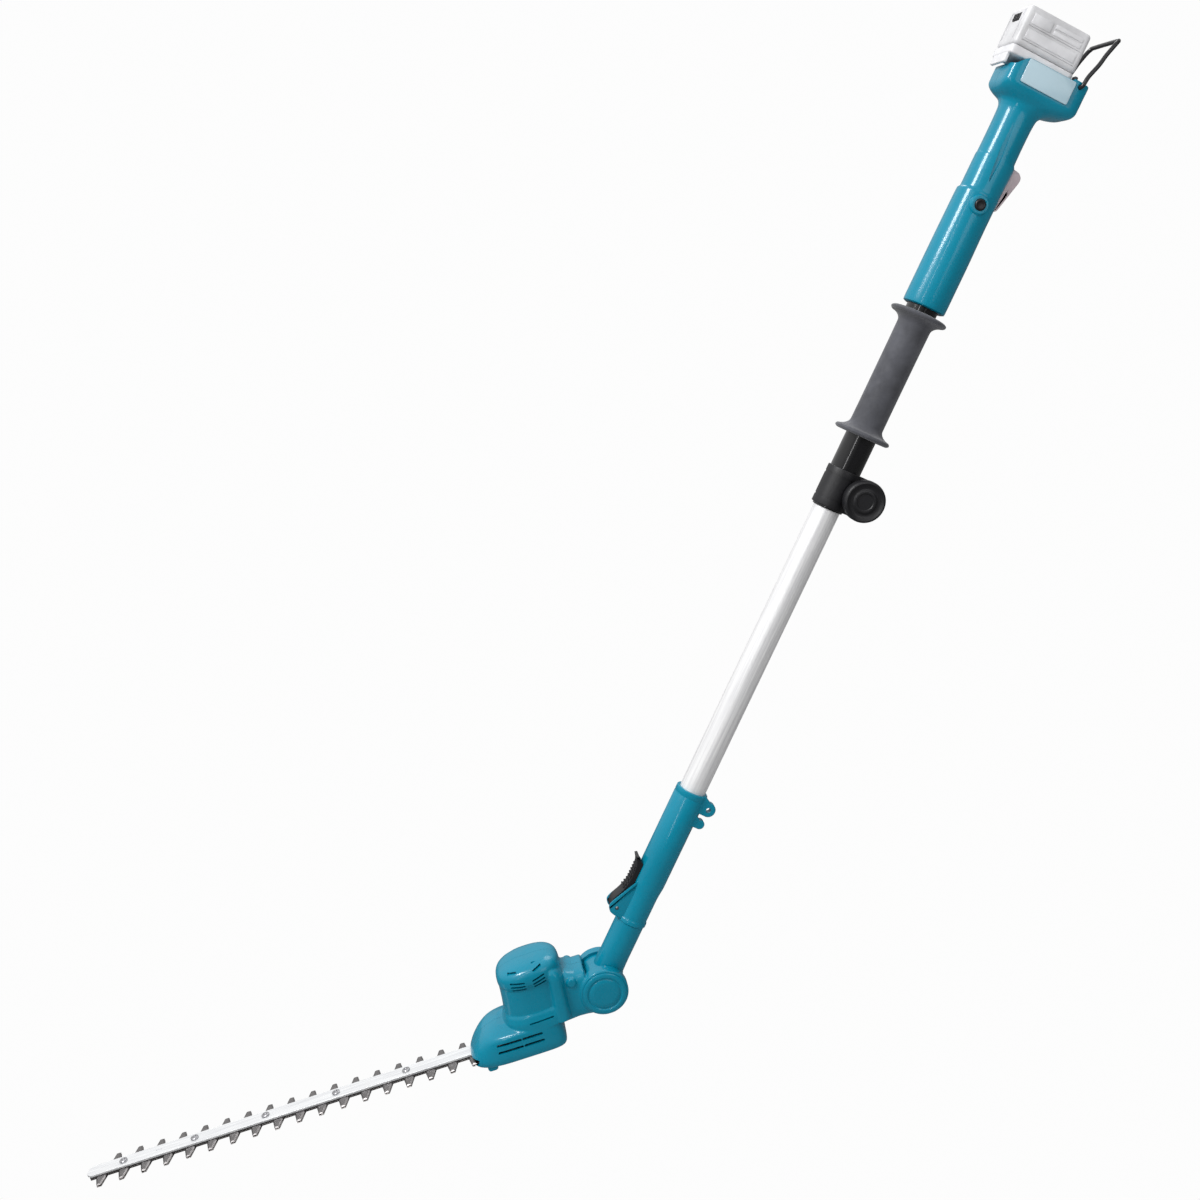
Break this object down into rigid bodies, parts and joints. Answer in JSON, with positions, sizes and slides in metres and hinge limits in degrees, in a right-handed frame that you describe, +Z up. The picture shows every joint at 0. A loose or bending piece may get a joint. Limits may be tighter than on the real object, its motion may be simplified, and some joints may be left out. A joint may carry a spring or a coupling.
{
  "type": "pole hedge trimmer",
  "caption": "Cordless pole hedge trimmer: telescoping pole with grip and rear handle, folding cutter head, double-sided reciprocating blade.",
  "frame": {"origin": "middle of the front grip, on the pole's axis", "axes": "+Z up, -Y towards the viewer, the pole and the cutter bar lie in the XZ plane, the pole leans 24.2 degrees from +Z towards +X, the cutter bar points to -X"},
  "size_m": [1.1244, 0.0758, 1.276],
  "materials": {
    "teal_shell": "gloss",
    "teal_metal": "gloss paint",
    "outer_tube": "gloss, glass-fibre tube",
    "inner_tube": "satin",
    "grip_rubber": "matte",
    "black_plastic": "fine texture",
    "steel": "machined",
    "tooth_steel": "ground, dark",
    "bar_metal": "brushed",
    "cast_metal": "cast",
    "pale_plate": "gloss",
    "trigger": "fine texture",
    "battery_shell": "fine texture",
    "battery_grey": "fine texture",
    "cell": "film",
    "board": "board",
    "lead": "matte",
    "hook_wire": "powder coat"
  },
  "bodies": {
    "rear_handle": {"handle_shell_near": "teal_shell", "handle_shell_far": "teal_shell", "outer_tube": "outer_tube", "front_grip": "grip_rubber", "tube_clamp": "black_plastic", "clamp_nut": "steel", "main_switch": "black_plastic", "controller_board": "board", "terminal_block": "black_plastic", "trigger_pin": "steel", "housing_plate": "pale_plate", "handle_screw_1": "steel", "handle_screw_2": "steel", "hook_bumper": "grip_rubber"},
    "extension_pole": {"inner_tube": "inner_tube", "power_lead": "lead", "pole_holder": "teal_shell", "hinge_arm": "teal_metal", "lever_pin": "steel", "holder_screw_1": "steel", "holder_screw_2": "steel", "lock_spring": "steel"},
    "lock_lever": {"lock_lever": "black_plastic"},
    "lock_bolt": {"lock_bolt": "steel"},
    "cutter_head": {"head_shell_near": "teal_shell", "head_shell_far": "teal_shell", "gear_case": "cast_metal", "upper_bearing": "steel", "motor_can": "steel", "guide_bar": "bar_metal", "blade_bolt_1": "steel", "blade_bolt_2": "steel", "blade_bolt_3": "steel", "blade_bolt_4": "steel", "blade_bolt_5": "steel", "under_cover": "black_plastic", "front_skid": "teal_shell", "hinge_shaft": "steel", "index_plate": "steel", "hinge_cap_near": "teal_shell", "hinge_cap_far": "teal_shell", "head_screw_1": "steel", "head_screw_2": "steel"},
    "motor_rotor": {"motor_rotor": "steel"},
    "crank": {"crankshaft": "steel", "drive_gear": "steel"},
    "upper_cutter": {"upper_cutter": "tooth_steel"},
    "lower_cutter": {"lower_cutter": "tooth_steel"},
    "switch_trigger": {"switch_trigger": "trigger"},
    "lock_off_button": {"lock_off_button": "black_plastic"},
    "clamp_knob": {"clamp_knob": "black_plastic", "clamp_bolt": "steel"},
    "battery": {"battery_case": "battery_shell", "battery_base": "battery_shell", "battery_cell_1": "cell", "battery_cell_2": "cell", "battery_cell_3": "cell", "battery_cell_4": "cell"},
    "battery_release": {"battery_release": "battery_grey"},
    "hanging_hook": {"hanging_hook": "hook_wire"}
  },
  "joints": [
    {"name": "pole_slide", "type": "slide", "parent": "rear_handle", "child": "extension_pole", "axis": [0.4099, 0, 0.9121], "range_m": [0, 0.28]},
    {"name": "head_pivot", "type": "hinge", "parent": "extension_pole", "child": "cutter_head", "pos_m": [-0.31298, 0, -0.6964], "axis": [0, -1, 0], "range_deg": [0, 115]},
    {"name": "lever_pivot", "type": "hinge", "parent": "extension_pole", "child": "lock_lever", "pos_m": [-0.29635, 0, -0.60038], "axis": [0, -1, 0], "range_deg": [0, 25.5]},
    {"name": "lock_bolt_slide", "type": "slide", "parent": "extension_pole", "child": "lock_bolt", "axis": [0.4099, 0, 0.9121], "range_m": [0, 0.004], "stiffness_N_per_m": 150, "springref_m": -0.003, "deforming": ["lock_spring"]},
    {"name": "motor_spin", "type": "hinge", "parent": "cutter_head", "child": "motor_rotor", "pos_m": [-0.39003, 0, -0.71792], "axis": [-0.2689, 0, 0.9632], "range_deg": [-450, 450]},
    {"name": "crank_turn", "type": "hinge", "parent": "cutter_head", "child": "crank", "pos_m": [-0.41806, 0, -0.72574], "axis": [-0.2689, 0, 0.9632], "range_deg": [-91, 91]},
    {"name": "upper_cutter_slide", "type": "slide", "parent": "cutter_head", "child": "upper_cutter", "axis": [-0.9632, 0, -0.2689], "range_m": [-0.0066, 0.0066]},
    {"name": "lower_cutter_slide", "type": "slide", "parent": "cutter_head", "child": "lower_cutter", "axis": [-0.9632, 0, -0.2689], "range_m": [-0.0066, 0.0066]},
    {"name": "trigger_press", "type": "hinge", "parent": "rear_handle", "child": "switch_trigger", "pos_m": [0.09947, 0, 0.17621], "axis": [0, -1, 0], "range_deg": [0, 8], "stiffness_Nm_per_rad": 0.8, "springref_deg": -8.59},
    {"name": "lock_off_press", "type": "slide", "parent": "rear_handle", "child": "lock_off_button", "axis": [0, 1, 0], "range_m": [0, 0.003], "stiffness_N_per_m": 400, "springref_m": -0.002},
    {"name": "clamp_turn", "type": "hinge", "parent": "rear_handle", "child": "clamp_knob", "pos_m": [-0.03197, 0, -0.1309], "axis": [0, 1, 0], "range_deg": [0, 270]},
    {"name": "battery_slide", "type": "slide", "parent": "rear_handle", "child": "battery", "axis": [-0.9121, 0, 0.4099], "range_m": [0, 0.09]},
    {"name": "release_press", "type": "slide", "parent": "battery", "child": "battery_release", "axis": [0.9121, 0, -0.4099], "range_m": [0, 0.003], "stiffness_N_per_m": 400, "springref_m": -0.002},
    {"name": "hook_fold", "type": "hinge", "parent": "rear_handle", "child": "hanging_hook", "pos_m": [0.17657, 0, 0.29286], "axis": [0, 1, 0], "range_deg": [0, 110]}
  ],
  "couplings": [
    {"joint": "lever_pivot", "follows": "lock_bolt_slide", "rad_per_m": 109},
    {"joint": "crank_turn", "follows": "motor_spin", "ratio": -0.2},
    {"joint": "upper_cutter_slide", "follows": "motor_spin", "m_per_rad": -0.00082761},
    {"joint": "lower_cutter_slide", "follows": "motor_spin", "m_per_rad": 0.00082761}
  ]
}
